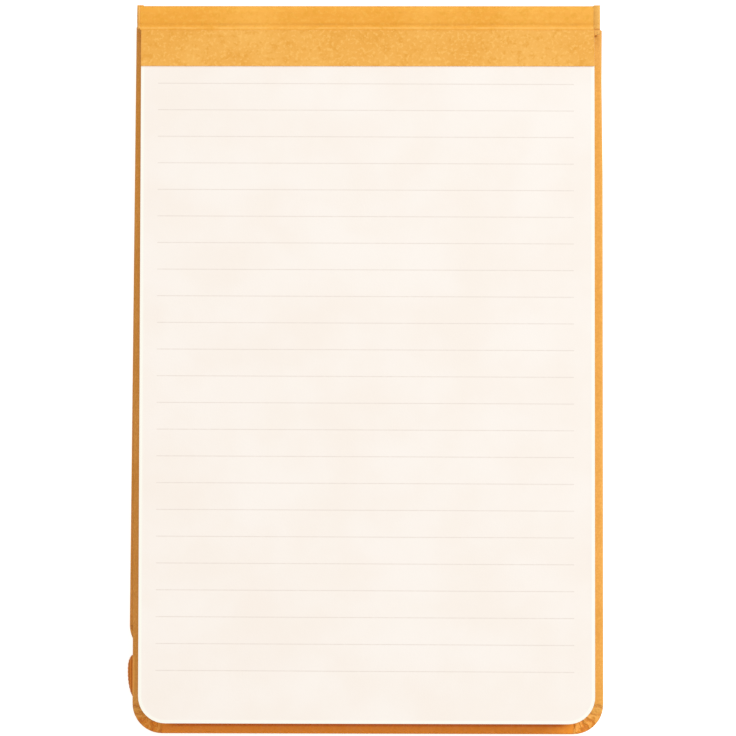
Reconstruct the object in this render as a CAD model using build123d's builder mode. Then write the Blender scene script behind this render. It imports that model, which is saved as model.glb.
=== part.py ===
from build123d import *
import os

# A pocket notepad bound along its head, in a leatherette case, lying face up with its front cover folded right
# round to the back. X runs across the page, Y towards the bound head, Z up from the table. Millimetres.

# The block of ruled sheets
sheet_count = 96
sheet_thickness = 0.1
block_width = 86.1
block_length = 131.6
block_corner = 5.1
band_height = 7.1
band_short = 0.3
band_dip = 0.05
band_slope = 0.35
paper = 0.2

# The leatherette case, and how far it stands past the block
leatherette = 0.4
board_thickness = 1.5
left_square = 1.8
right_square = 2.1
tail_square = 2.4
cover_corner = 5.7
edge_round = 0.35
turn_in = 12.0
turn_in_depth = 0.35
turn_in_round = 1.0
head_pinch = 0.3
pinch_length = 28.0
back_joint = 0.8
case_corner_round = 1.1

# The spine and the hinge over it
lining = 0.2
spine_card = 0.7
spine_card_drop = 0.1
flap_card = 1.1
flap_card_drop = 0.4
hinge_margin = 0.95
hinge_span = 1.8
hinge_rise = 0.15
hinge_clear = 0.5
lip_width = 1.25
lip_proud = 0.15

# The front cover, folded back under the rest. It stops short of the elastic.
covers_gap = 0.3
crease_half = 1.2
front_short = 0.4
front_skew = 0.37
endpaper_inset = 2.6

# The closing elastic, across the back near the tail, and the slack loop of it at the left
elastic_width = 7.4
elastic_thickness = 0.8
elastic_from_tail = 10.5
loop_reach = 1.0
loop_gap = 0.3
loop_round = 0.7
loop_head_taper = 1.2
loop_tail_taper = 2.6
loop_taper_reach = 0.8
loop_return = 10.0
loop_rise = 6.0
slit_inset = 7.0
slit_clear = 0.15
seat_clear = 0.02
elastic_tab = 8.5
tab_bed = 9.0

# The folds of the turned-in leatherette at the rounded corners
pleat_count = 6
pleat_height = 0.16
pleat_end_height = 0.04
pleat_width = 1.0
pleat_root = 0.05
pleat_start = 0.1
pleat_short = 0.5

# Levels, from the table up
front_board_low = paper
front_board_high = front_board_low + board_thickness
front_high = front_board_high + leatherette
back_low = front_high + covers_gap
back_board_low = back_low + leatherette
back_board_high = back_board_low + board_thickness
block_low = back_board_high + paper
block_high = block_low + sheet_count * sheet_thickness
band_high = block_high + paper

# Places along the length, from the tail to the head
cover_width = left_square + block_width + right_square
hinge_width = block_width + 2 * hinge_margin
block_middle = (left_square - right_square) / 2
roll_depth = lining + spine_card + leatherette + hinge_span + flap_card + paper
tail = -(tail_square + block_length + roll_depth) / 2
block_tail = tail + tail_square
head = block_tail + block_length
card_face = head + lining
spine_face = card_face + spine_card
spine_back = spine_face + leatherette

# The creases: over the spine, over the flap, and at the head of the front board
spine_crease = (spine_face + leatherette / 2, band_high + hinge_rise)
flap_crease = (spine_crease[0] + hinge_span, spine_crease[1])
board_crease = (flap_crease[0], front_high - leatherette / 2)
flap_inner = flap_crease[0] - leatherette / 2
flap_skin_back = flap_inner + leatherette
flap_card_back = flap_skin_back + flap_card
flap_back = flap_card_back + paper
front_board_head = board_crease[0] - crease_half
spine_skin_high = spine_crease[1] - hinge_clear
flap_card_high = flap_crease[1] - flap_card_drop
elastic_middle = tail + elastic_from_tail
front_tail = elastic_middle + elastic_width / 2 + front_short

os.makedirs("parts", exist_ok=True)


def cover_plan(inset, low, high, corner, pinch=0.0):
    """A cover's outline, drawn in by inset at the sides and the tail, with round tail corners and a square head."""
    side = cover_width / 2 - inset
    with BuildSketch() as plan:
        with BuildLine():
            Polyline(
                (-side, low + inset),
                (side, low + inset),
                (side, high - pinch_length),
                (side - pinch, high),
                (-side + pinch, high),
                (-side, high - pinch_length),
                close=True,
            )
        make_face()
        fillet(plan.vertices().group_by(Axis.Y)[0], corner - inset)
    return plan.sketch


def pleats(low, level, up):
    """The gathered leatherette at a cover's two tail corners: one-sided folds that run out from the corner's centre."""
    reach = cover_corner - endpaper_inset + pleat_start
    length = endpaper_inset - pleat_short
    folds = []
    for side in (-1, 1):
        centre = (side * (cover_width / 2 - cover_corner), low + cover_corner)
        for fold in range(pleat_count):
            turn = 90 * (fold + 0.5) / pleat_count
            out = Vector(side, 0, 0).rotate(Axis.Z, -side * turn)
            start = Vector(*centre, level) + out * reach
            across = out.cross(Vector(0, 0, up))
            with BuildPart() as ridge:
                for along, height in ((0, pleat_height), (length, pleat_end_height)):
                    with BuildSketch(Plane(start + out * along, x_dir=across, z_dir=out)):
                        with BuildLine():
                            Polyline(
                                (-pleat_width / 2, pleat_root),
                                (pleat_width / 2, pleat_root),
                                (pleat_width / 4, -height),
                                close=True,
                            )
                        make_face()
                loft()
            folds.append(ridge.part)
    return folds


# The sheets are one block, square at the head where they are glued and rounded at the tail.
with BuildPart() as text_block:
    with BuildSketch(Plane.XY.offset(block_low)):
        with Locations((block_middle, block_tail + block_length / 2)):
            Rectangle(block_width, block_length)
    extrude(amount=block_high - block_low)
    fillet(text_block.edges().filter_by(Axis.Z).group_by(Axis.Y)[0], block_corner)
text_block.part.label = "text_block"
export_step(text_block.part, "parts/text_block.step")

# The endpaper's stub: a band glued over the head of the first sheet, and on over the top of the spine.
with BuildPart() as binding_strip:
    with BuildSketch(Plane.YZ.offset(block_middle - block_width / 2)):
        with BuildLine():
            Polyline(
                (head - band_height, block_high),
                (spine_face - band_short, block_high),
                (spine_face - band_short, band_high - band_dip),
                (head + band_slope, band_high - band_dip),
                (head, band_high),
                (head - band_height, band_high),
                close=True,
            )
        make_face()
    extrude(amount=block_width)
binding_strip.part.label = "binding_strip"
export_step(binding_strip.part, "parts/binding_strip.step")

# The lining glued down the sheets' bound edges.
with BuildPart() as spine_lining:
    with BuildSketch(Plane.XZ.offset(-head)):
        with Locations((block_middle, (block_low + block_high) / 2)):
            Rectangle(block_width, block_high - block_low)
    extrude(amount=-lining)
spine_lining.part.label = "spine_lining"
export_step(spine_lining.part, "parts/spine_lining.step")

# The stiff card inside the spine.
spine_card_low = back_board_low + case_corner_round
spine_card_high = block_high - spine_card_drop
with BuildPart() as spine_stiffener:
    with BuildSketch(Plane.XZ.offset(-card_face)):
        with Locations((0, (spine_card_low + spine_card_high) / 2)):
            Rectangle(hinge_width - 2 * leatherette, spine_card_high - spine_card_low)
    extrude(amount=-spine_card)
spine_stiffener.part.label = "spine_stiffener"
export_step(spine_stiffener.part, "parts/spine_stiffener.step")

# The back board, with the turned-in leatherette pressed into its inner face all round, two slits for the elastic
# and a shallow bed beside each slit for the elastic's end.
slit_width = elastic_thickness + 2 * slit_clear
slit_place = cover_width / 2 - slit_inset
bed_place = slit_place - slit_width / 2 - tab_bed / 2
with BuildPart() as back_board:
    with BuildSketch(Plane.XY.offset(back_board_low)):
        add(cover_plan(leatherette, tail, head - back_joint, cover_corner, head_pinch))
    extrude(amount=board_thickness)
    with BuildSketch(Plane.XY.offset(back_board_high)):
        add(cover_plan(leatherette, tail, head - back_joint, cover_corner, head_pinch))
        add(cover_plan(turn_in, tail, head - back_joint, turn_in + turn_in_round), mode=Mode.SUBTRACT)
    extrude(amount=-turn_in_depth, mode=Mode.SUBTRACT)
    with BuildSketch(Plane.XY.offset(back_board_high)):
        with Locations((-slit_place, elastic_middle), (slit_place, elastic_middle)):
            Rectangle(slit_width, elastic_width + 2 * slit_clear)
    extrude(amount=-board_thickness, mode=Mode.SUBTRACT)
    with BuildSketch(Plane.XY.offset(back_board_high)):
        with Locations((-bed_place, elastic_middle), (bed_place, elastic_middle)):
            Rectangle(tab_bed, elastic_width + 2 * slit_clear)
    extrude(amount=-(elastic_thickness + slit_clear), mode=Mode.SUBTRACT)
back_board.part.label = "back_board"
export_step(back_board.part, "parts/back_board.step")

# The leatherette of the back: under the board, up round its edges and turned in over its inner face, then round
# the corner and up the outside of the spine, with its ends turned in there too.
with BuildPart() as back_skin:
    with BuildSketch(Plane.XY.offset(back_low)):
        add(cover_plan(0, tail, spine_back, cover_corner, head_pinch))
    extrude(amount=back_board_high - back_low)
    fillet(back_skin.faces().sort_by(Axis.Z)[0].edges().sort_by(Axis.Y)[-1], case_corner_round)
    fillet(back_skin.faces().sort_by(Axis.Z)[0].edges().sort_by(Axis.Y)[:-1], edge_round)
    fillet(back_skin.faces().sort_by(Axis.Z)[-1].edges().sort_by(Axis.Y)[:-1], edge_round)
    with BuildSketch(Plane.XY.offset(back_board_low)):
        add(cover_plan(leatherette, tail, spine_face, cover_corner, head_pinch))
    extrude(amount=board_thickness - turn_in_depth, mode=Mode.SUBTRACT)
    with BuildSketch(Plane.XY.offset(back_board_high)):
        add(cover_plan(turn_in, tail, spine_face, turn_in + turn_in_round))
    extrude(amount=-turn_in_depth, mode=Mode.SUBTRACT)
    with BuildSketch(Plane.XY.offset(back_board_high)):
        with Locations((-slit_place, elastic_middle), (slit_place, elastic_middle)):
            Rectangle(slit_width, elastic_width + 2 * slit_clear)
        with Locations((-bed_place, elastic_middle), (bed_place, elastic_middle)):
            Rectangle(tab_bed, elastic_width + 2 * slit_clear)
    extrude(amount=-turn_in_depth, mode=Mode.SUBTRACT)
    with BuildSketch(Plane.XY.offset(back_board_low)):
        with Locations((-slit_place, elastic_middle), (slit_place, elastic_middle)):
            Rectangle(slit_width, elastic_width + 2 * slit_clear)
    extrude(amount=-leatherette, mode=Mode.SUBTRACT)
    with BuildSketch(Plane.XY.offset(back_board_high)):
        with Locations((0, card_face + spine_card / 2)):
            Rectangle(hinge_width - 2 * leatherette, spine_card)
    extrude(amount=-turn_in_depth, mode=Mode.SUBTRACT)
    with BuildSketch(Plane.XY.offset(back_board_high)):
        with Locations((0, spine_face + leatherette / 2)):
            Rectangle(hinge_width, leatherette)
        for side in (-1, 1):
            with Locations((side * (hinge_width - leatherette) / 2, (card_face + spine_back) / 2)):
                Rectangle(leatherette, spine_back - card_face)
            with Locations((side * (hinge_width - hinge_margin + lining) / 2, card_face - lining / 2)):
                Rectangle(hinge_margin - lining, lining)
    extrude(amount=spine_skin_high - back_board_high)
    for fold in pleats(tail, back_board_high, 1):
        add(fold)
back_skin.part.label = "back_skin"
export_step(back_skin.part, "parts/back_skin.step")

# The endpaper pasted down over the board and the turn-ins, just inside the block's own outline.
with BuildPart() as back_endpaper:
    with BuildSketch(Plane.XY.offset(back_board_high)):
        add(cover_plan(endpaper_inset, tail, head - back_joint, cover_corner + paper))
    extrude(amount=paper)
back_endpaper.part.label = "back_endpaper"
export_step(back_endpaper.part, "parts/back_endpaper.step")

# The elastic: a flat strap along the outside of the back, through a slit near each side, its ends glued in beds
# in the board. On the left it runs out past the cover's edge and folds back under itself, and the slack loop that
# shows there narrows towards its end.
strap_high = back_low - seat_clear
strap_low = strap_high - elastic_thickness
tab_high = back_board_high - seat_clear
loop_drop = elastic_thickness + loop_gap
loop_low = strap_low - loop_drop
loop_left = -(cover_width / 2 + loop_reach)
riser = elastic_thickness / 2
return_end = loop_left + loop_return
strap_start = return_end + loop_rise
tab_end = slit_place - riser - elastic_tab
with BuildPart() as elastic_strap:
    with BuildSketch(Plane.XZ.offset(-(elastic_middle - elastic_width / 2))):
        with BuildLine():
            Polyline(
                (loop_left, loop_low),
                (return_end, loop_low),
                (strap_start, strap_low),
                (slit_place + riser, strap_low),
                (slit_place + riser, tab_high),
                (tab_end, tab_high),
                (tab_end, tab_high - elastic_thickness),
                (slit_place - riser, tab_high - elastic_thickness),
                (slit_place - riser, strap_high),
                (strap_start, strap_high),
                (return_end, strap_high - loop_drop),
                (loop_left + elastic_thickness, strap_high - loop_drop),
                (loop_left + elastic_thickness, strap_low),
                (-slit_place + riser, strap_low),
                (-slit_place + riser, tab_high - elastic_thickness),
                (-tab_end, tab_high - elastic_thickness),
                (-tab_end, tab_high),
                (-slit_place - riser, tab_high),
                (-slit_place - riser, strap_high),
                (loop_left, strap_high),
                close=True,
            )
        make_face()
        fillet(vertices().group_by(Axis.X)[0], loop_round)
    extrude(amount=-elastic_width)
    with BuildSketch(Plane.XY.offset(loop_low)):
        for end, taper in ((elastic_width / 2, loop_head_taper), (-elastic_width / 2, -loop_tail_taper)):
            with BuildLine():
                Polyline(
                    (loop_left, elastic_middle + end),
                    (loop_left + loop_taper_reach, elastic_middle + end),
                    (loop_left, elastic_middle + end - taper),
                    close=True,
                )
            make_face()
    extrude(amount=strap_high - loop_low, mode=Mode.SUBTRACT)
elastic_strap.part.label = "elastic_strap"
export_step(elastic_strap.part, "parts/elastic_strap.step")

# The hinge's leatherette, a narrow strip that bends at its two edges, round where it meets them.
with BuildPart() as hinge_skin:
    with BuildSketch(Plane.YZ.offset(-hinge_width / 2)):
        with Locations(((spine_crease[0] + flap_crease[0]) / 2, spine_crease[1])):
            SlotCenterToCenter(hinge_span, leatherette)
    extrude(amount=hinge_width)
hinge_skin.part.label = "hinge_skin"
export_step(hinge_skin.part, "parts/hinge_skin.step")

# The endpaper over the hinge.
with BuildPart() as hinge_liner:
    with BuildSketch(Plane.YZ.offset(block_middle - block_width / 2)):
        with Locations(((spine_crease[0] + flap_crease[0]) / 2, spine_crease[1] + (leatherette + paper) / 2)):
            Rectangle(hinge_span, paper)
    extrude(amount=block_width)
hinge_liner.part.label = "hinge_liner"
export_step(hinge_liner.part, "parts/hinge_liner.step")

# The stiff card in the flap, the part of the front cover that hangs behind the spine when it is folded back.
flap_card_low = board_crease[1] + crease_half
with BuildPart() as flap_stiffener:
    with BuildSketch(Plane.XZ.offset(-flap_skin_back)):
        with Locations((0, (flap_card_low + flap_card_high) / 2)):
            Rectangle(hinge_width - 2 * leatherette, flap_card_high - flap_card_low)
    extrude(amount=-flap_card)
flap_stiffener.part.label = "flap_stiffener"
export_step(flap_stiffener.part, "parts/flap_stiffener.step")

# The flap's leatherette: its outside, which faces the spine here, and its ends turned in as thick lips.
flap_skin_low = board_crease[1] + hinge_clear
with BuildPart() as flap_skin:
    with BuildSketch(Plane.XY.offset(flap_skin_low)):
        with Locations((0, flap_inner + leatherette / 2)):
            Rectangle(hinge_width, leatherette)
    extrude(amount=flap_card_high - flap_skin_low)
    with BuildSketch(Plane.XY.offset(flap_card_low)):
        for side in (-1, 1):
            with Locations((side * (hinge_width - leatherette) / 2, (flap_inner + flap_card_back) / 2)):
                Rectangle(leatherette, flap_card_back - flap_inner)
            with Locations((side * (hinge_width - lip_width) / 2, flap_card_back + (paper + lip_proud) / 2)):
                Rectangle(lip_width, paper + lip_proud)
    extrude(amount=flap_card_high - flap_card_low)
    fillet(flap_skin.edges().filter_by(Axis.Z).group_by(Axis.Y)[-1], lip_proud / 2)
flap_skin.part.label = "flap_skin"
export_step(flap_skin.part, "parts/flap_skin.step")

# The endpaper over the flap, between the lips, and down into the crease at its foot.
with BuildPart() as flap_liner:
    with BuildSketch(Plane.YZ.offset(-hinge_width / 2 + lip_width)):
        with BuildLine():
            Polyline(
                (flap_skin_back, flap_skin_low),
                (flap_skin_back + paper, flap_skin_low),
                (flap_skin_back + paper, flap_card_low - paper),
                (flap_back, flap_card_low - paper),
                (flap_back, flap_card_high),
                (flap_card_back, flap_card_high),
                (flap_card_back, flap_card_low),
                (flap_skin_back, flap_card_low),
                close=True,
            )
        make_face()
    extrude(amount=hinge_width - 2 * lip_width)
flap_liner.part.label = "flap_liner"
export_step(flap_liner.part, "parts/flap_liner.step")

# The front cover lies a little askew under the back one, turned about the middle of its crease.
askew = Axis((0, board_crease[0], 0), (0, 0, 1))

# The front board, with the turn-ins pressed into its inner face, which is down here.
with BuildPart() as front_board:
    with BuildSketch(Plane.XY.offset(front_board_low)):
        add(cover_plan(leatherette, front_tail, front_board_head, cover_corner))
    extrude(amount=board_thickness)
    with BuildSketch(Plane.XY.offset(front_board_low)):
        add(cover_plan(leatherette, front_tail, front_board_head, cover_corner))
        add(cover_plan(turn_in, front_tail, front_board_head, turn_in + turn_in_round), mode=Mode.SUBTRACT)
    extrude(amount=turn_in_depth, mode=Mode.SUBTRACT)
front_board.part = front_board.part.rotate(askew, -front_skew)
front_board.part.label = "front_board"
export_step(front_board.part, "parts/front_board.step")

# The front's leatherette: over the board, round its edges, turned in underneath, and on to the crease.
with BuildPart() as front_skin:
    with BuildSketch(Plane.XY.offset(front_board_low)):
        add(cover_plan(0, front_tail, front_board_head, cover_corner))
    extrude(amount=front_high - front_board_low)
    fillet(front_skin.faces().sort_by(Axis.Z)[0].edges().sort_by(Axis.Y)[:-1], edge_round)
    fillet(front_skin.faces().sort_by(Axis.Z)[-1].edges().sort_by(Axis.Y)[:-1], edge_round)
    with BuildSketch(Plane.XY.offset(front_board_low + turn_in_depth)):
        add(cover_plan(leatherette, front_tail, front_board_head, cover_corner))
    extrude(amount=board_thickness - turn_in_depth, mode=Mode.SUBTRACT)
    with BuildSketch(Plane.XY.offset(front_board_low)):
        add(cover_plan(turn_in, front_tail, front_board_head, turn_in + turn_in_round))
    extrude(amount=turn_in_depth, mode=Mode.SUBTRACT)
    with BuildSketch(Plane.YZ.offset(-hinge_width / 2)):
        with Locations(((front_board_head + board_crease[0]) / 2, board_crease[1])):
            Rectangle(crease_half, leatherette)
        with Locations(board_crease):
            Circle(leatherette / 2)
    extrude(amount=hinge_width)
    for fold in pleats(front_tail, front_board_low, -1):
        add(fold)
front_skin.part = front_skin.part.rotate(askew, -front_skew)
front_skin.part.label = "front_skin"
export_step(front_skin.part, "parts/front_skin.step")

# The front endpaper, pasted over the board and the turn-ins. The notepad lies on it here.
with BuildPart() as front_endpaper:
    with BuildSketch():
        add(cover_plan(endpaper_inset, front_tail, front_board_head, cover_corner + paper))
    extrude(amount=paper)
front_endpaper.part = front_endpaper.part.rotate(askew, -front_skew)
front_endpaper.part.label = "front_endpaper"
export_step(front_endpaper.part, "parts/front_endpaper.step")
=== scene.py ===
import math
import random

import bmesh
import bpy
from mathutils import Matrix, Vector


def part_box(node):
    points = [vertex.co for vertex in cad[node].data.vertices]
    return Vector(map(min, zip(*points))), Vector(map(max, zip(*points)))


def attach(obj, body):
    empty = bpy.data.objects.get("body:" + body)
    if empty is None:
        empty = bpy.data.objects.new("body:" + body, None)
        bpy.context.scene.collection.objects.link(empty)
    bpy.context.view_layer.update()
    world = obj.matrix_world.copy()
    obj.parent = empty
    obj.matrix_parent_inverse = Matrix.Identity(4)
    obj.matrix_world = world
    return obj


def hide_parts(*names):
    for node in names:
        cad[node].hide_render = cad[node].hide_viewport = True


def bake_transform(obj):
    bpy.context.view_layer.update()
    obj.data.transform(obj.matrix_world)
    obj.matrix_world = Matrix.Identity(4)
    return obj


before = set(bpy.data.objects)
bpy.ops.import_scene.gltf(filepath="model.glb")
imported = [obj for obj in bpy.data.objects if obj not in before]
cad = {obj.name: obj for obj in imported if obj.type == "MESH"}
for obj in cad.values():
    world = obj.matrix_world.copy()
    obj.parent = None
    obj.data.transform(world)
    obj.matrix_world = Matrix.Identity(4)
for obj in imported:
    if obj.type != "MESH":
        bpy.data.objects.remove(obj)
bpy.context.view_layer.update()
mm = 0.001

# ---- The ruled sheets ----
# Ninety-six sheets of smooth ivory paper, glued together along the head and trimmed as one block, with
# their tail corners cut round. Each is a thin slab of its own here, a hair out of line with the next.


def seen_colour(red, green, blue):
    """A colour as the eye reads it, 0 to 255, on the scale that the shaders use."""
    scaled = [c / 255 for c in (red, green, blue)]
    return tuple(c / 12.92 if c < 0.04045 else ((c + 0.055) / 1.055) ** 2.4 for c in scaled) + (1.0,)


def new_finish(name, colour, roughness):
    """A finish with its base colour and roughness set, and its tree of nodes."""
    finish = bpy.data.materials.new(name)
    finish.use_nodes = True
    surface = finish.node_tree.nodes["Principled BSDF"]
    surface.inputs["Base Color"].default_value = colour
    surface.inputs["Roughness"].default_value = roughness
    return finish, finish.node_tree, surface


def put(tree, kind, inputs=(), **settings):
    """One more node in the tree. An input is a number, a colour or what comes out of another node."""
    node = tree.nodes.new(kind)
    for name, value in settings.items():
        setattr(node, name, value)
    for name, value in dict(inputs).items():
        if isinstance(value, bpy.types.NodeSocket):
            tree.links.new(value, node.inputs[name])
        else:
            node.inputs[name].default_value = value
    return node


def sum_of(tree, operation, first, second=0.0):
    """One step of arithmetic between two values."""
    return put(tree, "ShaderNodeMath", {0: first, 1: second}, operation=operation).outputs[0]


def times(tree, first, second):
    """One value times the other."""
    return sum_of(tree, "MULTIPLY", first, second)


def away_from(tree, value, middle):
    """How far a value is from the middle, on either side of it."""
    return sum_of(tree, "ABSOLUTE", sum_of(tree, "SUBTRACT", value, middle))


def mixed(tree, share, first, second):
    """Two colours mixed, by a share from 0 to 1."""
    return put(tree, "ShaderNodeMix", {0: share, 6: first, 7: second}, data_type="RGBA").outputs[2]


def spread(tree, value, low, high, to_low=0.0, to_high=1.0):
    """A value between low and high, stretched to run between two others and held there outside them."""
    inputs = {"Value": value, "From Min": low, "From Max": high, "To Min": to_low, "To Max": to_high}
    return put(tree, "ShaderNodeMapRange", inputs, interpolation_type="SMOOTHSTEP").outputs[0]


def grains(tree, place, size, detail=2.0, roughness=0.5, stretch=(1, 1, 1)):
    """Soft random marks about as large as size, in metres."""
    turned = put(tree, "ShaderNodeMapping", {"Vector": place, "Scale": stretch}).outputs[0]
    inputs = {"Vector": turned, "Scale": 1 / size, "Detail": detail, "Roughness": roughness}
    return put(tree, "ShaderNodeTexNoise", inputs).outputs["Fac"]


def raised(tree, surface, height, distance, under=None):
    """The surface's relief: height from 0 to 1 stands for that distance in metres."""
    inputs = {"Height": height, "Distance": distance}
    if under is not None:
        inputs["Normal"] = under
    bump = put(tree, "ShaderNodeBump", inputs)
    tree.links.new(bump.outputs[0], surface.inputs["Normal"])
    return bump.outputs[0]


def finished_piece(made, name, fold=None):
    """The made shape as an object in the scene, its faces turned outward. Where fold is given, it is smooth
    across each edge that bends by less."""
    bmesh.ops.recalc_face_normals(made, faces=made.faces)
    if fold:
        for face in made.faces:
            face.smooth = True
        for edge in made.edges:
            edge.smooth = len(edge.link_faces) == 2 and edge.calc_face_angle() < fold
    mesh = bpy.data.meshes.new(name)
    made.to_mesh(mesh)
    made.free()
    piece = bpy.data.objects.new(name, mesh)
    bpy.context.scene.collection.objects.link(piece)
    return piece


block_low_corner, block_high_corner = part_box("text_block")
sheet_count = 96
corner_round = 5.1 * mm
line_pitch = 5.057 * mm
last_line = -56.95 * mm
line_count = 23
line_half = 0.085 * mm
line_left, line_right = -39.95 * mm, 39.0 * mm
line_skew = 0.0027
sheet_gap = 0.006 * mm
most_slip, most_short = 0.035, 0.06

random.seed(96)
sheet_step = (block_high_corner.z - block_low_corner.z) / sheet_count
stack = bmesh.new()
for sheet in range(sheet_count):
    top_sheet = sheet == sheet_count - 1
    slip = 0.0 if top_sheet else random.uniform(-most_slip, most_slip) * mm
    short = 0.0 if top_sheet else random.uniform(0, most_short) * mm
    left, right = block_low_corner.x + slip, block_high_corner.x + slip
    low, high = block_low_corner.y + short, block_high_corner.y
    outline = [(left, high), (left, low + corner_round)]
    for side, start in ((left + corner_round, 180), (right - corner_round, 270)):
        for turn in range(0, 91, 9):
            angle = math.radians(start + turn)
            along = corner_round * math.cos(angle)
            outline.append((side + along, low + corner_round + corner_round * math.sin(angle)))
    outline.append((right, high))
    floor_of_sheet = block_low_corner.z + sheet * sheet_step
    under = [stack.verts.new((x, y, floor_of_sheet + sheet_gap)) for x, y in outline]
    over = [stack.verts.new((x, y, floor_of_sheet + sheet_step)) for x, y in outline]
    stack.faces.new(over)
    stack.faces.new(under[::-1])
    for i in range(len(outline)):
        j = (i + 1) % len(outline)
        stack.faces.new((under[i], under[j], over[j], over[i]))
ruled_sheets = finished_piece(stack, "ruled_sheets")

ivory, tree, surface = new_finish("ivory_paper", seen_colour(252, 243, 235), 0.62)
surface.inputs["Specular IOR Level"].default_value = 0.25
surface.inputs["Sheen Weight"].default_value = 0.06
place = put(tree, "ShaderNodeTexCoord").outputs["Object"]
apart = put(tree, "ShaderNodeSeparateXYZ", {0: place}).outputs
outward = put(tree, "ShaderNodeNewGeometry").outputs["True Normal"]
facing = put(tree, "ShaderNodeSeparateXYZ", {0: outward}).outputs
tone = grains(tree, place, 14 * mm, 3)
paper = mixed(tree, spread(tree, tone, 0.3, 0.7), seen_colour(251, 240, 231), seen_colour(253, 244, 237))
fibres = grains(tree, place, 0.35 * mm, 4, 0.6)
paper = mixed(tree, spread(tree, fibres, 0.62, 0.8, 0, 0.25), paper, seen_colour(248, 236, 226))
# the faint grey ruling, printed on the face of the sheet and a hair askew
along = sum_of(tree, "ADD", apart[1], times(tree, apart[0], line_skew))
count = sum_of(tree, "DIVIDE", sum_of(tree, "SUBTRACT", along, last_line), line_pitch)
off = away_from(tree, sum_of(tree, "FRACT", sum_of(tree, "ADD", count, 0.5)), 0.5)
inked = sum_of(tree, "LESS_THAN", off, line_half / line_pitch)
for operation, value, limit in (
    ("GREATER_THAN", count, -0.5),
    ("LESS_THAN", count, line_count - 0.5),
    ("GREATER_THAN", apart[0], line_left),
    ("LESS_THAN", apart[0], line_right),
    ("GREATER_THAN", facing[2], 0.7),
):
    inked = times(tree, inked, sum_of(tree, operation, value, limit))
inked = times(tree, inked, spread(tree, grains(tree, place, 0.6 * mm), 0.25, 0.6, 0.5, 0.75))
paper = mixed(tree, inked, paper, seen_colour(232, 219, 210))
# a narrow rim along each sheet's sides and tail is painted paler
middle_x = (block_low_corner.x + block_high_corner.x) / 2
half_width = (block_high_corner.x - block_low_corner.x) / 2
sideways = sum_of(tree, "SUBTRACT", away_from(tree, apart[0], middle_x), half_width - corner_round)
tailward = sum_of(tree, "SUBTRACT", block_low_corner.y + corner_round, apart[1])
past = [sum_of(tree, "MAXIMUM", length, 0) for length in (sideways, tailward)]
squares = [times(tree, length, length) for length in past]
from_round = sum_of(tree, "SQRT", sum_of(tree, "ADD", *squares))
rim = spread(tree, from_round, corner_round - 0.8 * mm, corner_round - 0.4 * mm)
paper = mixed(tree, times(tree, rim, 0.9), paper, seen_colour(255, 253, 242))
# the trimmed edges show the cut fibres, a little paler and duller
trimmed = sum_of(tree, "LESS_THAN", facing[2], 0.5)
cut = grains(tree, place, 0.2 * mm, 3, 0.6, (1, 1, 4))
paper = mixed(tree, times(tree, trimmed, 0.8), paper, seen_colour(244, 232, 219))
tree.links.new(paper, surface.inputs["Base Color"])
raised(tree, surface, mixed(tree, trimmed, fibres, cut), 0.012 * mm)
ruled_sheets.data.materials.append(ivory)
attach(ruled_sheets, "block")
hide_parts("text_block")

# ---- The glued head ----
# A strip of pale, open-woven cloth. It is glued down the sheets' bound edges and brushed over with glue,
# which dries in streaks.


def woven(tree, place, pitch_scale, wobble, direction):
    """Threads side by side along X or Z, with a slight wobble."""
    inputs = {"Vector": place, "Scale": pitch_scale, "Distortion": wobble}
    return put(tree, "ShaderNodeTexWave", inputs, bands_direction=direction).outputs["Fac"]


glued_cloth, tree, surface = new_finish("glued_cloth", seen_colour(232, 222, 204), 0.7)
place = put(tree, "ShaderNodeTexCoord").outputs["Object"]
weave = sum_of(tree, "MAXIMUM", woven(tree, place, 900.0, 0.6, "X"), woven(tree, place, 900.0, 0.6, "Z"))
glue = grains(tree, place, 3 * mm, 3, 0.5, (0.3, 1, 1))
colour = mixed(tree, weave, seen_colour(206, 192, 168), seen_colour(238, 230, 214))
colour = mixed(tree, spread(tree, glue, 0.5, 0.7, 0, 0.5), colour, seen_colour(226, 208, 170))
tree.links.new(colour, surface.inputs["Base Color"])
tree.links.new(spread(tree, glue, 0.45, 0.7, 0.8, 0.4), surface.inputs["Roughness"])
raised(tree, surface, weave, 0.04 * mm)
cad["spine_lining"].data.materials.clear()
cad["spine_lining"].data.materials.append(glued_cloth)

# ---- The boards and stiff cards ----
# Grey board made of pulped paper, cut with a guillotine. It only shows where the leatherette and the
# endpapers stop, so it keeps its own flecks and its rough cut edge.

grey_board, tree, surface = new_finish("grey_board", seen_colour(150, 143, 132), 0.85)
surface.inputs["Specular IOR Level"].default_value = 0.2
place = put(tree, "ShaderNodeTexCoord").outputs["Object"]
pulp = grains(tree, place, 1.2 * mm, 5, 0.65)
flecks = grains(tree, place, 0.25 * mm, 2)
colour = mixed(tree, spread(tree, pulp, 0.3, 0.7), seen_colour(128, 121, 111), seen_colour(168, 160, 148))
colour = mixed(tree, spread(tree, flecks, 0.66, 0.72, 0, 0.7), colour, seen_colour(92, 86, 80))
tree.links.new(colour, surface.inputs["Base Color"])
raised(tree, surface, sum_of(tree, "ADD", pulp, flecks), 0.03 * mm)
for card in ("back_board", "front_board", "spine_stiffener", "flap_stiffener"):
    cad[card].data.materials.clear()
    cad[card].data.materials.append(grey_board)

# ---- The leatherette case ----
# Orange leatherette: paper with a thin coloured coat, pressed with a fine pebbled grain. It is glued over
# the boards and turned in round their edges, and gathered into small folds at the two round tail corners.


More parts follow.
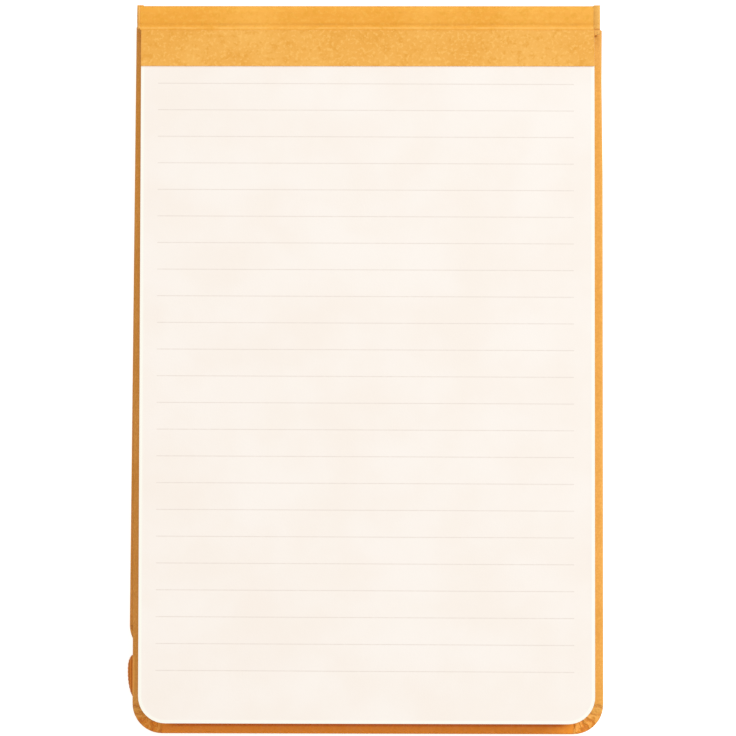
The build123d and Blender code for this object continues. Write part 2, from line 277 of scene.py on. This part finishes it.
def leatherette_finish(name, corners, worn=0.0):
    """The case's finish. corners are the middles of the rounded corners that its gathers run out from, and
    worn is how far it is rubbed pale, from 0 to 1."""
    finish, tree, surface = new_finish(name, seen_colour(234, 168, 76), 0.5)
    surface.inputs["Specular IOR Level"].default_value = 0.28
    place = put(tree, "ShaderNodeTexCoord").outputs["Object"]
    cells = {"Vector": place, "Scale": 1 / (0.42 * mm), "Randomness": 0.95}
    pebbles = put(tree, "ShaderNodeTexVoronoi", cells).outputs["Distance"]
    skin = grains(tree, place, 0.9 * mm, 4, 0.6)
    cloudy = grains(tree, place, 9 * mm, 3)
    clouded = spread(tree, cloudy, 0.3, 0.7)
    colour = mixed(tree, clouded, seen_colour(231, 164, 70), seen_colour(238, 173, 82))
    colour = mixed(tree, spread(tree, pebbles, 0.1, 0.75, 0, 0.38), colour, seen_colour(214, 140, 46))
    colour = mixed(tree, spread(tree, skin, 0.6, 0.75, 0, 0.25), colour, seen_colour(244, 192, 108))
    wear_and_edge_highlight = times(tree, spread(tree, cloudy, 0.3, 0.6, 0.8, 1), worn)
    colour = mixed(tree, wear_and_edge_highlight, colour, seen_colour(253, 202, 106))
    apart = put(tree, "ShaderNodeSeparateXYZ", {0: place}).outputs
    # painted shade: the coat is painted deeper along the tail, where the block's shadow falls on it, and
    # darkest in a painted contact shadow close to the sheets
    painted_tail_shade = sum_of(tree, "ADD", apart[1], times(tree, grains(tree, place, 4 * mm), 2 * mm))
    painted_tail_shade = spread(tree, painted_tail_shade, -66.4 * mm, -63.5 * mm, 0.85, 0)
    colour = mixed(tree, painted_tail_shade, colour, seen_colour(240, 142, 24))
    from_sheets = away_from(tree, apart[1], block_low_corner.y - 0.7 * mm)
    across = spread(tree, sum_of(tree, "ABSOLUTE", apart[0]), 36 * mm, 39.5 * mm, 1, 0)
    painted_contact_shadow = times(tree, spread(tree, from_sheets, 0.1 * mm, 0.5 * mm, 0.85, 0), across)
    colour = mixed(tree, painted_contact_shadow, colour, seen_colour(204, 100, 12))
    # and a painted highlight makes the left edge paler where the elastic comes round
    from_loop = away_from(tree, apart[1], -58.3 * mm)
    on_the_edge = spread(tree, apart[0], -44.8 * mm, -44.5 * mm, 1, 0)
    wear_and_edge_highlight = times(tree, spread(tree, from_loop, 3.2 * mm, 4.4 * mm, 0.9, 0), on_the_edge)
    colour = mixed(tree, wear_and_edge_highlight, colour, seen_colour(255, 186, 90))
    relief = raised(tree, surface, sum_of(tree, "ADD", times(tree, pebbles, -1), skin), 0.035 * mm)
    wander = times(tree, grains(tree, place, 1.8 * mm, 2), 13)
    crests = painted_fold_shade = None
    for x, y in corners:
        east = sum_of(tree, "SUBTRACT", apart[0], x)
        north = sum_of(tree, "SUBTRACT", apart[1], y)
        angle = sum_of(tree, "ARCTAN2", north, east)
        wave = sum_of(tree, "SINE", sum_of(tree, "ADD", times(tree, angle, 17), wander))
        outside = sum_of(tree, "GREATER_THAN", times(tree, east, math.copysign(1, x)), 0)
        outside = times(tree, outside, sum_of(tree, "LESS_THAN", north, 0))
        crest = times(tree, spread(tree, wave, -0.7, 0.9), outside)
        corner_fold_shade = times(tree, spread(tree, wave, -0.98, -0.6, 1, 0), outside)
        crests = crest if crests is None else sum_of(tree, "ADD", crests, crest)
        painted_fold_shade = corner_fold_shade if painted_fold_shade is None else sum_of(tree, "ADD", painted_fold_shade, corner_fold_shade)
    if corners:
        raised(tree, surface, crests, 0.15 * mm, relief)
        # the gathers' crests are painted paler, a painted highlight, and their hollows darker, a painted
        # shade
        colour = mixed(tree, times(tree, crests, 0.4), colour, seen_colour(248, 186, 96))
        colour = mixed(tree, times(tree, painted_fold_shade, 0.45), colour, seen_colour(172, 88, 24))
    tree.links.new(colour, surface.inputs["Base Color"])
    tree.links.new(spread(tree, skin, 0.3, 0.7, 0.4, 0.55), surface.inputs["Roughness"])
    return finish


leatherette = leatherette_finish("orange_leatherette", [], 0.22)
back_corners = [(side * 39.3 * mm, -63.5 * mm) for side in (-1, 1)]
front_corners = [(-40.05 * mm, -48.65 * mm), (38.55 * mm, -49.15 * mm)]
for skin, coat in (
    ("back_skin", leatherette_finish("orange_leatherette_back", back_corners)),
    ("front_skin", leatherette_finish("orange_leatherette_front", front_corners)),
    ("flap_skin", leatherette),
):
    cad[skin].data.materials.clear()
    cad[skin].data.materials.append(coat)

# ---- The leatherette over the creases ----
# The same leatherette, where it crosses from the spine to the narrow hinge, from the hinge to the flap and
# from the flap to the front board. It bends there as the cover swings, and its ends are turned in as lips.


def drawn_smooth(points, parts=5):
    """A smooth line through points of a side view, each (y, z) in millimetres."""
    ends = [points[0], *points, points[-1]]
    line = []
    for a, b, c, d in zip(ends, ends[1:], ends[2:], ends[3:]):
        for part in range(parts):
            t = part / parts
            weights = (
                (-t + 2 * t * t - t**3) / 2,
                (2 - 5 * t * t + 3 * t**3) / 2,
                (t + 4 * t * t - 3 * t**3) / 2,
                (t**3 - t * t) / 2,
            )
            line.append(tuple(sum(w * p[k] for w, p in zip(weights, (a, b, c, d))) for k in (0, 1)))
    return line + [points[-1]]


def line_direction(line, i):
    """Which way a line runs at its point number i."""
    before, after = line[max(i - 1, 0)], line[min(i + 1, len(line) - 1)]
    return Vector((after[0] - before[0], after[1] - before[1])).normalized()


head = block_high_corner.y / mm
thinnest = 0.02
widest_step = 2
sharp_fold = math.radians(40)


def bent_sheet(name, points, near, far, left, right, soft=0.0, skived=0.0):
    """A sheet that follows a line in the side view, near and far millimetres to its right, from left to
    right. The line's points are millimetres past the block's head and up from the table. Soft rounds the
    end away from the middle, and skived is how much the other end is pared down."""
    line = [(head + y, z) for y, z in drawn_smooth(points)]
    made = bmesh.new()
    steps = max(1, int((right - left) / widest_step))
    places = [left + (right - left) * step / steps for step in range(steps + 1)]
    end, other_end = (left, right) if left + right < 0 else (right, left)
    pared = 0.5 * (right - left)
    if soft:
        places += [end - math.copysign(soft * t, end) for t in (0.04, 0.15, 0.35, 0.65, 1)]
    if skived:
        places += [other_end + math.copysign(pared * t, end) for t in (0.15, 0.3, 0.5, 0.75, 1)]
    rows = []
    for x in sorted(places):
        inward = min(abs(end - x), soft)
        fall = soft - (soft * soft - (soft - inward) ** 2) ** 0.5
        fall += skived * max(1 - abs(other_end - x) / pared, 0) ** 2
        depths = (near + min(fall, far - near - thinnest), far)
        row = []
        for i, (y, z) in enumerate(line):
            run = line_direction(line, i)
            row.append([made.verts.new(Vector((x, y + run.y * d, z - run.x * d)) * mm) for d in depths])
        rows.append(row)
    last = len(line) - 1
    for here, there in zip(rows, rows[1:]):
        for i in range(last):
            made.faces.new((here[i][0], there[i][0], there[i + 1][0], here[i + 1][0]))
            made.faces.new((here[i][1], here[i + 1][1], there[i + 1][1], there[i][1]))
        for i in (0, last):
            made.faces.new((here[i][0], here[i][1], there[i][1], there[i][0]))
    for row in (rows[0], rows[-1]):
        for i in range(last):
            made.faces.new((row[i][0], row[i + 1][0], row[i + 1][1], row[i][1]))
    return finished_piece(made, name, sharp_fold)


hinge_end = 44.0
case_half_thick = 0.205
lip_depth, lip_round, lip_paring = 0.4, 0.38, 0.14
lips = (("left", -44.0, -43.4, 0.0), ("right", 42.7, 44.0, -0.1))
spine_bend = [(1.1, 13.4), (1.1, 13.7), (1.13, 13.95), (1.36, 14.16), (1.7, 14.18), (2.05, 14.18)]
flap_bend = [(2.05, 14.18), (2.4, 14.18), (2.66, 14.14), (2.87, 13.92), (2.9, 13.7), (2.9, 13.4)]
board_bend = [(2.9, 3.1), (2.9, 2.6), (2.89, 2.15), (2.7, 1.92), (2.4, 1.9), (2.0, 1.9)]
spine_lip = [
    (0.0, 14.36), (0.3, 14.38), (0.6, 14.38), (0.9, 14.44), (1.2, 14.52), (1.6, 14.56), (2.05, 14.58),
]
flap_lip = [
    (2.05, 14.58), (2.7, 14.62), (3.3, 14.63), (3.85, 14.54),
    (4.22, 14.32), (4.44, 14.0), (4.5, 13.6), (4.5, 13.0),
]


def crosses(sheet):
    """Bakes the sheet's placement into its mesh."""
    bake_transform(sheet)


for crease, bend, lip in (
    ("spine", spine_bend, spine_lip),
    ("flap", flap_bend, flap_lip),
    ("board", board_bend, None),
):
    near, far = -case_half_thick, case_half_thick
    sheet = bent_sheet("leatherette_over_" + crease, bend, near, far, -hinge_end, hinge_end)
    sheet.data.materials.append(leatherette)
    if crease == "spine":
        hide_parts("hinge_skin")
    crosses(sheet)
    for side, left, right, proud in lips if lip else ():
        name = f"{side}_end_turned_in_over_{crease}"
        turned_in = bent_sheet(name, lip, proud, lip_depth, left, right, lip_round, lip_paring)
        turned_in.data.materials.append(leatherette)
        crosses(turned_in)

# its ends are also turned in round the spine card, flat on the left and in a small wad on the right
block_left, block_right = block_low_corner.x / mm, block_high_corner.x / mm
wad = [
    (14.12, 0.9), (14.05, 1.25), (13.8, 1.35), (13.2, 1.2),
    (12.0, 0.8), (10.8, 0.35), (9.6, 0.16), (4.15, 0.16),
]
flat = [(14.12, 0.16), (4.15, 0.16)]
outer = head + 0.19
end_inset, block_clearance = 0.1, 0.04
for side, left, right, shape in (
    ("left", -hinge_end + end_inset, block_left - block_clearance, flat),
    ("right", block_right + block_clearance, hinge_end - end_inset, wad),
):
    turned_in = bmesh.new()
    rows = []
    for z, depth in shape:
        inner = outer - depth
        corners = [
            (left, outer), (left, inner + 0.08), (left + 0.08, inner),
            (right - 0.3, inner), (right, inner + 0.1), (right, outer),
        ]
        rows.append([turned_in.verts.new(Vector((x, y, z)) * mm) for x, y in corners])
    for here, there in zip(rows, rows[1:]):
        for i in range(len(here)):
            j = (i + 1) % len(here)
            turned_in.faces.new((here[i], here[j], there[j], there[i]))
    turned_in.faces.new(rows[0])
    turned_in.faces.new(rows[-1][::-1])
    tab = finished_piece(turned_in, f"{side}_end_turned_in_round_spine_card")
    tab.data.materials.append(leatherette)
    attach(tab, "block")

# the head corners of the front board, a little askew like the board, are wrapped in the same leatherette
front_askew = math.radians(-0.37)
front_head = 66.61
wrap_deep, wrap_tall, wrap_middle = 0.24, 1.66, 0.9
for side, left, right in (("left", -44.85, -43.3), ("right", 42.6, 44.75)):
    wrapped = bmesh.new()
    bmesh.ops.create_cube(wrapped, size=1)
    middle_x = (left + right) / 2
    middle = Vector((middle_x, front_head + middle_x * math.tan(front_askew), wrap_middle)) * mm
    for corner in wrapped.verts:
        x, y, z = corner.co
        corner.co = Vector((x * (right - left), y * wrap_deep, z * wrap_tall)) * mm
        corner.co = Matrix.Rotation(front_askew, 3, "Z") @ corner.co + middle
    bmesh.ops.bevel(wrapped, geom=wrapped.edges, offset=0.06 * mm, segments=2, affect="EDGES")
    wrap = finished_piece(wrapped, f"{side}_head_corner_of_front_board")
    wrap.data.materials.append(leatherette)
    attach(wrap, "front_cover")

# ---- The endpapers ----
# Heavy paper dyed orange in the pulp, with a fine cloudy mottle. One sheet is glued as a band over the head
# of the block, runs over the hinge and the flap, and is pasted down inside the front cover. Another lines
# the back cover.


def endpaper_finish(name, mottle, deeper):
    """The dyed paper. Its mottle is strong where it is pasted flat and weak where it is stretched over the
    hinge, and there its colour is a few steps deeper."""

    def dyed(red, green, blue):
        return seen_colour(red + deeper / 4, green - deeper / 4, blue - deeper)

    finish, tree, surface = new_finish(name, seen_colour(242, 176, 78 - deeper), 0.6)
    surface.inputs["Specular IOR Level"].default_value = 0.3
    place = put(tree, "ShaderNodeTexCoord").outputs["Object"]
    clouds = grains(tree, place, 1.25 * mm, 4, 0.65)
    fine = grains(tree, place, 0.6 * mm, 3, 0.55)
    broad = grains(tree, place, 12 * mm, 2)
    colour = mixed(tree, spread(tree, broad, 0.3, 0.7), dyed(238, 169, 68), dyed(244, 180, 84))
    dark, pale = seen_colour(230, 159, 56 - deeper), seen_colour(252, 192, 98 - deeper)
    for marks, tint in ((clouds, dark), (fine, pale)):
        colour = mixed(tree, spread(tree, marks, 0.5, 0.66, 0, mottle), colour, tint)
    if deeper:
        # at the fold over the block's head, a painted highlight runs along its crest and a painted shade
        # along the hollow behind it
        y = put(tree, "ShaderNodeSeparateXYZ", {0: place}).outputs[1]
        uneven = grains(tree, place, 1.5 * mm, 3, 0.6, (0.5, 1, 1))
        for behind, core, share_low, share_high, strength, tint in (
            (0.12 * mm, 0.05 * mm, 0.15, 1, 0.6, seen_colour(254, 194, 100)),
            (0.78 * mm, 0.1 * mm, 0.9, 0.1, 0.35, seen_colour(228, 160, 70)),
        ):
            off = away_from(tree, y, block_high_corner.y + behind)
            share = spread(tree, uneven, 0.35, 0.6, share_low, share_high)
            share = times(tree, spread(tree, off, core, 0.34 * mm, 1, 0), share)
            colour = mixed(tree, times(tree, share, strength), colour, tint)
    tree.links.new(colour, surface.inputs["Base Color"])
    tree.links.new(spread(tree, clouds, 0.3, 0.7, 0.5, 0.7), surface.inputs["Roughness"])
    raised(tree, surface, sum_of(tree, "ADD", clouds, fine), 0.03 * mottle * mm)
    return finish


endpaper = endpaper_finish("orange_endpaper", 0.66, 0)
for pasted in ("binding_strip", "back_endpaper", "front_endpaper"):
    cad[pasted].data.materials.clear()
    cad[pasted].data.materials.append(endpaper)
stretched = endpaper_finish("orange_endpaper_over_the_hinge", 0.35, 14)
over_spine = [
    (-0.25, 14.33), (-0.1, 14.36), (0.1, 14.36), (0.4, 14.33), (0.62, 14.33),
    (0.8, 14.37), (1.0, 14.44), (1.25, 14.49), (1.6, 14.52), (2.05, 14.54),
]
over_flap = [
    (2.05, 14.54), (2.7, 14.59), (3.3, 14.6), (3.8, 14.51), (4.16, 14.3),
    (4.37, 14.0), (4.42, 13.6), (4.42, 12.6), (4.42, 8.5), (4.42, 4.2),
]
over_board = [
    (4.42, 4.2), (4.42, 3.6), (4.3, 3.05), (4.0, 2.6), (3.74, 2.2), (3.55, 1.75), (3.25, 1.5), (2.85, 1.4),
    (2.48, 1.28), (2.28, 1.0), (2.22, 0.6), (2.12, 0.14), (1.75, 0.0), (0.9, 0.0),
]
endpaper_left, endpaper_right, endpaper_thick = -43.42, 42.72, 0.15
for crease, line, node in (
    ("spine", over_spine, "hinge_liner"),
    ("flap", over_flap, "flap_liner"),
    ("board", over_board, None),
):
    sheet = bent_sheet("endpaper_over_" + crease, line, 0, endpaper_thick, endpaper_left, endpaper_right)
    sheet.data.materials.append(stretched)
    if node:
        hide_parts(node)
    crosses(sheet)

# ---- The elastic ----
# A flat woven elastic, ribbed along its length. It runs across the outside of the back near the tail and
# through a slit near each side. On the left it is slack, and a loop stands out past the edge of the cover.

strap_tail, strap_head = -62.4, -54.95
loop_head, loop_peak, loop_tail = -54.25, -57.2, -62.45
strap_thick = 0.8
strap_ribs = 11
rib_height = 0.035
cover_edge = -45


def loop_reach(y):
    """The share of its full reach past the cover that the loop has at y: all of it at its peak."""
    if y > loop_peak:
        return max(1 - ((y - loop_peak) / (loop_head - loop_peak)) ** 2.2, 0) ** 0.5
    return max(1 - ((y - loop_peak) / (loop_tail - loop_peak)) ** 2.2, 0) ** 0.7


strap_path = [
    (-29.2, 3.88), (-36.3, 3.88), (-37.4, 3.84), (-37.95, 3.5), (-38.0, 2.9), (-38.15, 2.3),
    (-38.8, 1.98), (-42.0, 1.98), (-44.7, 1.98), (-45.5, 1.83), (-45.77, 1.43), (-45.5, 1.03),
    (-44.7, 0.88), (-41.0, 0.88), (-37.0, 0.9), (-34.5, 1.15), (-31.5, 1.75), (-29.0, 1.97),
    (-24.0, 1.98), (-8.0, 1.98), (8.0, 1.98), (24.0, 1.98), (36.0, 1.98), (37.6, 2.08),
    (38.0, 2.6), (38.0, 3.3), (37.6, 3.8), (36.4, 3.88), (29.2, 3.88),
]
line = drawn_smooth(strap_path, 4)
strap = bmesh.new()
around = [(2 * s / (4 * strap_ribs) - 1, 1) for s in range(4 * strap_ribs + 1)]
around += [(-s, -1) for s, _ in around]
rings = []
for i, (x, z) in enumerate(line):
    run = line_direction(line, i)
    slack = min(max((-41.0 - x) / 3.5, 0), 1)
    low = strap_tail + (loop_tail - strap_tail) * slack
    high = strap_head + (loop_head - strap_head) * slack
    ring = []
    for s, face in around:
        selvedge = (1 - abs(s) ** 14) ** 0.5
        rib = rib_height * math.cos(s * strap_ribs * math.pi)
        d = face * selvedge * (strap_thick / 2 - rib_height + rib)
        y = (low + high) / 2 + s * (high - low) / 2
        out = x + run.y * d
        out = cover_edge + (out - cover_edge) * loop_reach(y) if out < cover_edge else out
        ring.append(strap.verts.new(Vector((out, y, z - run.x * d)) * mm))
    rings.append(ring)
for here, there in zip(rings, rings[1:]):
    for i in range(len(around)):
        j = (i + 1) % len(around)
        strap.faces.new((here[i], here[j], there[j], there[i]))
strap.faces.new(rings[0])
strap.faces.new(rings[-1][::-1])
bmesh.ops.remove_doubles(strap, verts=strap.verts, dist=0.002 * mm)
for face in strap.faces:
    face.smooth = len(face.verts) < 5
closing_elastic = finished_piece(strap, "closing_elastic")

elastic_weave, tree, surface = new_finish("orange_elastic", seen_colour(222, 134, 44), 0.75)
surface.inputs["Sheen Weight"].default_value = 0.3
surface.inputs["Specular IOR Level"].default_value = 0.25
place = put(tree, "ShaderNodeTexCoord").outputs["Object"]
picks = woven(tree, place, 700.0, 1.2, "X")
colour = mixed(tree, picks, seen_colour(204, 116, 30), seen_colour(236, 148, 54))
fuzz = grains(tree, place, 0.3 * mm, 3)
colour = mixed(tree, spread(tree, fuzz, 0.6, 0.75, 0, 0.4), colour, seen_colour(240, 164, 82))
tree.links.new(colour, surface.inputs["Base Color"])
raised(tree, surface, picks, 0.04 * mm)
closing_elastic.data.materials.append(elastic_weave)
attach(closing_elastic, "block")
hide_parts("elastic_strap")

# ---- The table, the light and the camera ----
# The notepad lies on a plain white table, a hair under its lowest face. A broad soft light comes from the
# upper right and a weaker one from overhead, and the camera looks straight down but for 3 degrees.

table_mesh = bpy.data.meshes.new("table")
reach = 3
corners = [(-reach, -reach, 0), (reach, -reach, 0), (reach, reach, 0), (-reach, reach, 0)]
table_mesh.from_pydata(corners, [], [(0, 1, 2, 3)])
table = bpy.data.objects.new("table", table_mesh)
table.location.z = -0.02 * mm
bpy.context.scene.collection.objects.link(table)
white, tree, surface = new_finish("white_table", (0.8, 0.8, 0.8, 1), 0.9)
surface.inputs["Specular IOR Level"].default_value = 0.0
seen = put(tree, "ShaderNodeLightPath").outputs["Is Camera Ray"]
glow = put(tree, "ShaderNodeEmission", {"Strength": times(tree, seen, 0.68)})
both = put(tree, "ShaderNodeAddShader", {0: surface.outputs[0], 1: glow.outputs[0]})
tree.links.new(both.outputs[0], tree.nodes["Material Output"].inputs["Surface"])
table_mesh.materials.append(white)

world = bpy.data.worlds.new("white_room")
world.use_nodes = True
bpy.context.scene.world = world
tree = world.node_tree
path = put(tree, "ShaderNodeLightPath").outputs
mirrored = sum_of(tree, "MAXIMUM", path["Is Glossy Ray"], path["Is Transmission Ray"])
shown = sum_of(tree, "MAXIMUM", path["Is Camera Ray"], mirrored)
backdrop = tree.nodes["Background"]
warm, plain = (1.1, 0.98, 0.87, 1), (1, 1, 1, 1)
tree.links.new(mixed(tree, path["Is Camera Ray"], warm, plain), backdrop.inputs["Color"])
tree.links.new(spread(tree, shown, 0, 1, 0.46, 1.0), backdrop.inputs["Strength"])


def soft_lamp(name, place, size, power, colour):
    """A square lamp, soft for its size, pointed at the notepad."""
    lamp = bpy.data.lights.new(name, "AREA")
    lamp.shape = "SQUARE"
    lamp.size = size
    lamp.energy = power
    lamp.color = colour
    held = bpy.data.objects.new(name, lamp)
    held.location = place
    held.rotation_euler = (-Vector(place)).to_track_quat("-Z", "Y").to_euler()
    bpy.context.scene.collection.objects.link(held)


soft_lamp("window_light", (1.6, 0.9, 1.6), 1.0, 37.5, (0.8, 1.01, 1.15))
soft_lamp("overhead_light", (0.0, 0.0, 2.0), 0.7, 6.3, (1.07, 0.98, 0.9))

camera = bpy.data.cameras.new("camera")
camera.sensor_width = 36.0
camera.lens = 177.53
camera.clip_start, camera.clip_end = 0.01, 20.0
photographer = bpy.data.objects.new("camera", camera)
camera_place = (0.00708, -0.03188, 0.7)
roll, pitch, yaw = 0.082, 2.686, 0.584
held = Matrix.Translation(camera_place)
for turn, axis in ((roll, "Z"), (pitch, "X"), (yaw, "Y")):
    held = held @ Matrix.Rotation(math.radians(turn), 4, axis)
photographer.matrix_world = held
bpy.context.scene.collection.objects.link(photographer)
bpy.context.scene.camera = photographer
bpy.context.scene.view_settings.view_transform = "Standard"
